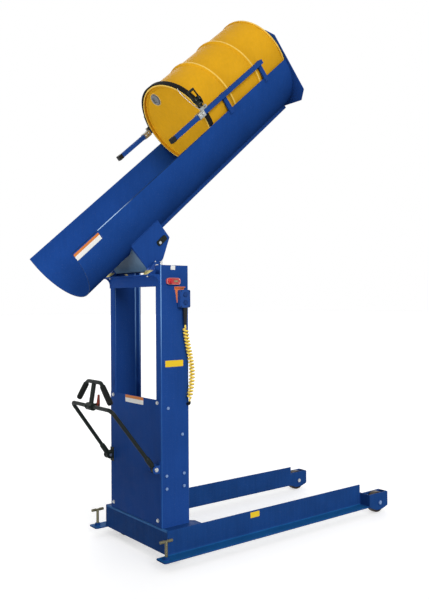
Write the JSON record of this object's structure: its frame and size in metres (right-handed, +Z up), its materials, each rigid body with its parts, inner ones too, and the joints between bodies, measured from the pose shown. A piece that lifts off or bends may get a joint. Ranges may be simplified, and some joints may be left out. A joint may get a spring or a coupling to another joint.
{
  "type": "drum tipper",
  "caption": "Portable hydraulic drum tipper: a half-round chute with a strapped drum tilts on a channel mast over a straddle base with steering handle, casters and screw jacks.",
  "frame": {"origin": "on the floor under the middle of the machine's length and width", "axes": "+Z up, +X along the legs towards the load wheels, the pendant on the -Y side"},
  "size_m": [2.4954, 0.948, 3.5508],
  "materials": {
    "blue_paint": "semi-gloss blue enamel",
    "drum_paint": "gloss yellow enamel",
    "black_paint": "satin black enamel",
    "zinc": "zinc plated",
    "galvanised": "galvanised",
    "bright_steel": "ground steel",
    "jack_steel": "dull oiled steel",
    "yellow_zinc": "yellow passivated zinc",
    "phenolic": "moulded phenolic",
    "black_plastic": "moulded",
    "grey_plastic": "moulded",
    "blue_plastic": "moulded",
    "red_plastic": "moulded",
    "orange_paint": "gloss orange enamel",
    "foam": "closed-cell foam",
    "rubber": "hose and wheel rubber",
    "cord_jacket": "yellow jacket",
    "webbing": "woven polyester"
  },
  "bodies": {
    "frame": {"base_beam": "blue_paint", "battery": "black_plastic", "bearing_blocks": "yellow_zinc", "caster_plates": "zinc", "cord_glands": "black_plastic", "cover_panel": "blue_paint", "curly_cord": "cord_jacket", "cylinder_bracket": "blue_paint", "deck_plates": "blue_paint", "floor_pan": "blue_paint", "frame_bolts": "zinc", "handle_clevises": "blue_paint", "handle_pivot_bolts": "zinc", "hydraulic_tank": "grey_plastic", "isolator_plate": "grey_plastic", "leg_far": "blue_paint", "leg_near": "blue_paint", "mast_channel_far": "blue_paint", "mast_channel_near": "blue_paint", "mast_tie": "blue_paint", "pendant_body": "blue_plastic", "pendant_hook": "orange_paint", "pivot_shelf": "blue_paint", "pressure_hose": "rubber", "pump_block": "bright_steel", "pump_motor": "black_paint", "wheel_axles": "zinc", "wheel_forks": "blue_paint"},
    "chute": {"chute_trough": "blue_paint", "end_plate": "blue_paint", "keel_channel": "blue_paint", "chute_ears": "blue_paint", "pivot_shaft": "bright_steel", "rod_pin": "zinc", "side_rails": "blue_paint", "rail_caps": "black_plastic", "strap_clamps": "galvanised", "drum_strap": "webbing", "ratchet_frame": "black_paint", "drum_shell": "drum_paint", "drum_head": "drum_paint", "drum_plugs": "grey_plastic"},
    "handle": {"handle_yoke": "black_paint", "handle_loop": "black_paint", "handle_grips": "foam"},
    "load_wheel_near": {"load_wheel_near": "phenolic"},
    "load_wheel_far": {"load_wheel_far": "phenolic"},
    "caster_fork_near": {"caster_fork_near": "zinc"},
    "caster_fork_far": {"caster_fork_far": "zinc"},
    "caster_wheel_near": {"caster_wheel_near": "rubber"},
    "caster_wheel_far": {"caster_wheel_far": "rubber"},
    "jack_screw_near": {"jack_screw_near": "jack_steel"},
    "jack_screw_far": {"jack_screw_far": "jack_steel"},
    "cylinder_barrel": {"cylinder_barrel": "black_paint"},
    "cylinder_rod": {"cylinder_rod": "bright_steel"},
    "release_lever": {"release_lever": "red_plastic"},
    "isolator_knob": {"isolator_knob": "red_plastic"},
    "button_up": {"button_up": "orange_paint"},
    "button_down": {"button_down": "red_plastic"},
    "ratchet_handle": {"ratchet_handle": "black_paint"}
  },
  "joints": [
    {"name": "chute_tilt", "type": "hinge", "parent": "frame", "child": "chute", "pos_m": [-0.66035, 0, 1.785], "axis": [0, 1, 0], "range_deg": [0, 131]},
    {"name": "barrel_swing", "type": "hinge", "parent": "frame", "child": "cylinder_barrel", "pos_m": [-0.58092, -0.165, 0.935], "axis": [0, 1, 0], "range_deg": [0, 0.5734]},
    {"name": "rod_slide", "type": "slide", "parent": "cylinder_barrel", "child": "cylinder_rod", "axis": [0, 0, 1], "range_m": [-0.36369, 0]},
    {"name": "handle_swing", "type": "hinge", "parent": "frame", "child": "handle", "pos_m": [-0.70635, 0, 0.563], "axis": [0, 1, 0], "range_deg": [-45, 18]},
    {"name": "lever_squeeze", "type": "hinge", "parent": "handle", "child": "release_lever", "pos_m": [-0.95785, -0.044, 0.949], "axis": [0, 1, 0], "range_deg": [0, 20], "stiffness_Nm_per_rad": 2},
    {"name": "isolator_turn", "type": "hinge", "parent": "frame", "child": "isolator_knob", "pos_m": [-0.61435, -0.322, 1.697], "axis": [0, 1, 0], "range_deg": [0, 90]},
    {"name": "ratchet_swing", "type": "hinge", "parent": "chute", "child": "ratchet_handle", "pos_m": [-0.38247, -0.29278, 2.84631], "axis": [0.7547, 0, 0.6561], "range_deg": [0, 150]},
    {"name": "wheel_roll_near", "type": "hinge", "parent": "frame", "child": "load_wheel_near", "pos_m": [1.15665, -0.425, 0.076], "axis": [0, 1, 0], "continuous": true},
    {"name": "caster_swivel_near", "type": "hinge", "parent": "frame", "child": "caster_fork_near", "pos_m": [-0.60235, -0.29, 0.104], "axis": [0, 0, 1], "continuous": true},
    {"name": "caster_roll_near", "type": "hinge", "parent": "caster_fork_near", "child": "caster_wheel_near", "pos_m": [-0.57735, -0.29, 0.038], "axis": [0, 1, 0], "continuous": true},
    {"name": "jack_travel_near", "type": "slide", "parent": "frame", "child": "jack_screw_near", "axis": [0, 0, -1], "range_m": [0, 0.044]},
    {"name": "wheel_roll_far", "type": "hinge", "parent": "frame", "child": "load_wheel_far", "pos_m": [1.15665, 0.425, 0.076], "axis": [0, 1, 0], "continuous": true},
    {"name": "caster_swivel_far", "type": "hinge", "parent": "frame", "child": "caster_fork_far", "pos_m": [-0.60235, 0.29, 0.104], "axis": [0, 0, 1], "continuous": true},
    {"name": "caster_roll_far", "type": "hinge", "parent": "caster_fork_far", "child": "caster_wheel_far", "pos_m": [-0.57735, 0.29, 0.038], "axis": [0, 1, 0], "continuous": true},
    {"name": "jack_travel_far", "type": "slide", "parent": "frame", "child": "jack_screw_far", "axis": [0, 0, -1], "range_m": [0, 0.044]},
    {"name": "press_up", "type": "slide", "parent": "frame", "child": "button_up", "axis": [0, 1, 0], "range_m": [0, 0.004], "stiffness_N_per_m": 400},
    {"name": "press_down", "type": "slide", "parent": "frame", "child": "button_down", "axis": [0, 1, 0], "range_m": [0, 0.004], "stiffness_N_per_m": 400}
  ],
  "couplings": [
    {"joint": "barrel_swing", "follows": "chute_tilt", "ratio": 0.0042909},
    {"joint": "rod_slide", "follows": "chute_tilt", "m_per_rad": -0.15875}
  ]
}
